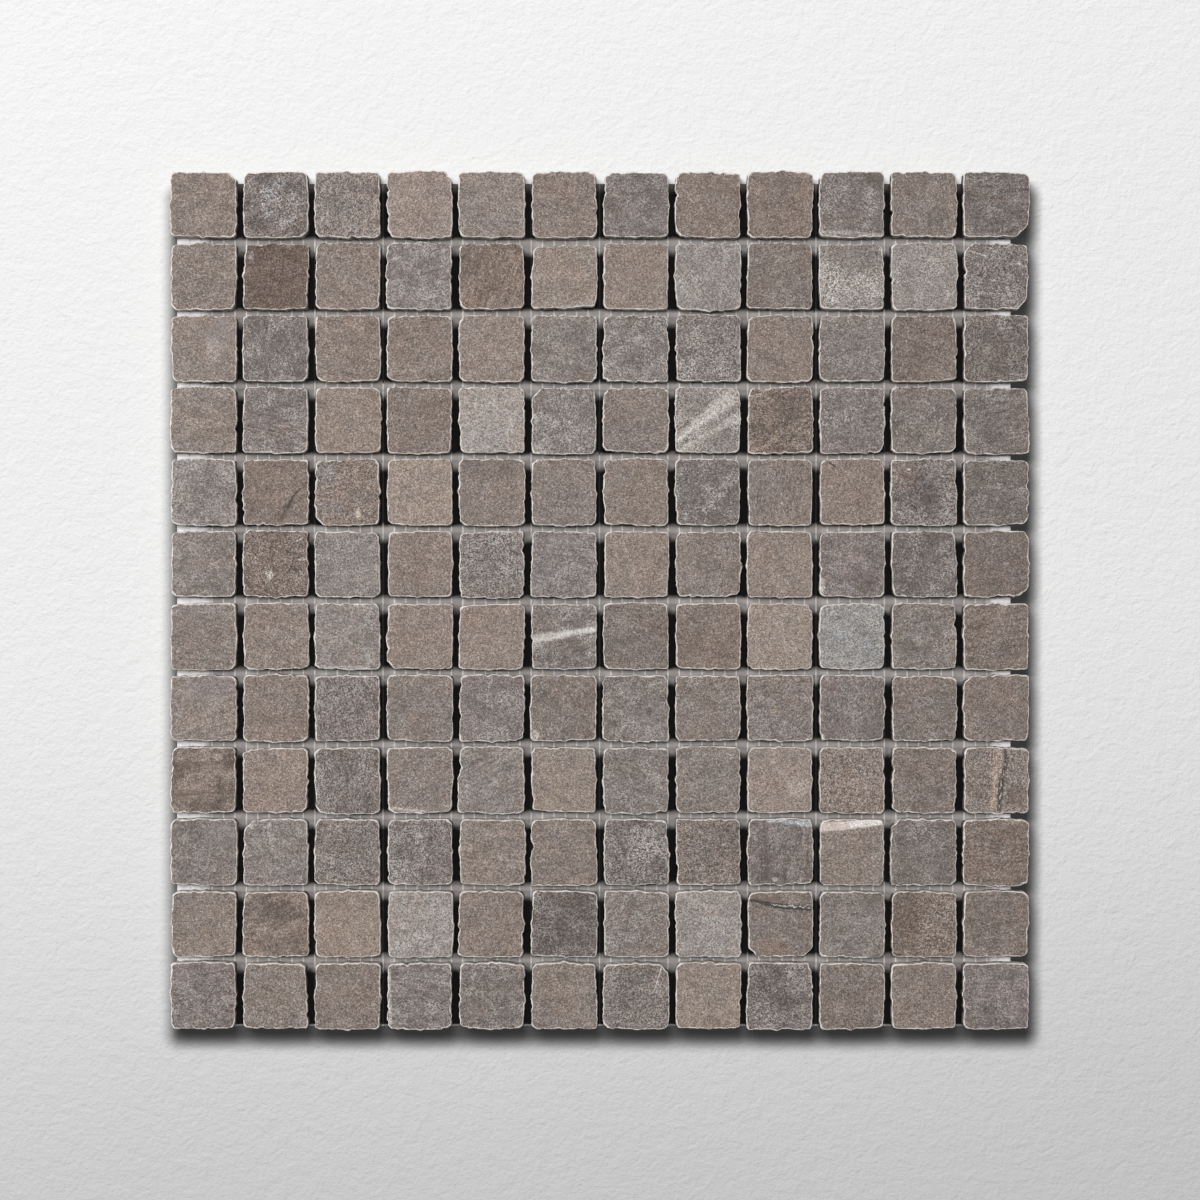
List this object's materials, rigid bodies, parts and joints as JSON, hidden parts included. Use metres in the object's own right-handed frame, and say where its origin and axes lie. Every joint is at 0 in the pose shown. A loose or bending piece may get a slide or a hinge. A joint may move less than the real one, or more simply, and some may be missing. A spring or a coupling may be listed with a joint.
{
  "type": "mosaic tile sheet",
  "caption": "Square sheet of small tumbled stone mosaic tiles in a straight grid, joined by a glass-fibre net on their backs, for covering floors and walls.",
  "frame": {"origin": "under the middle of the sheet, on the plane that it lies on", "axes": "+Z out of the face of the tiles, +Y towards the top edge of the sheet as seen on its face, +X towards its right edge"},
  "size_m": [0.3053, 0.305, 0.0102],
  "materials": {
    "stone": "tumbled, matt, fine-grained",
    "net": "resin-coated glass-fibre, matt",
    "film": "thin grey bonding film, matt"
  },
  "bodies": {
    "root": {"tile_row_01": "stone", "tile_row_02": "stone", "tile_row_03": "stone", "tile_row_04": "stone", "tile_row_05": "stone", "tile_row_06": "stone", "tile_row_07": "stone", "tile_row_08": "stone", "tile_row_09": "stone", "tile_row_10": "stone", "tile_row_11": "stone", "tile_row_12": "stone", "net_warp": "net", "net_weft": "net", "bond_film": "film"}
  },
  "joints": []
}
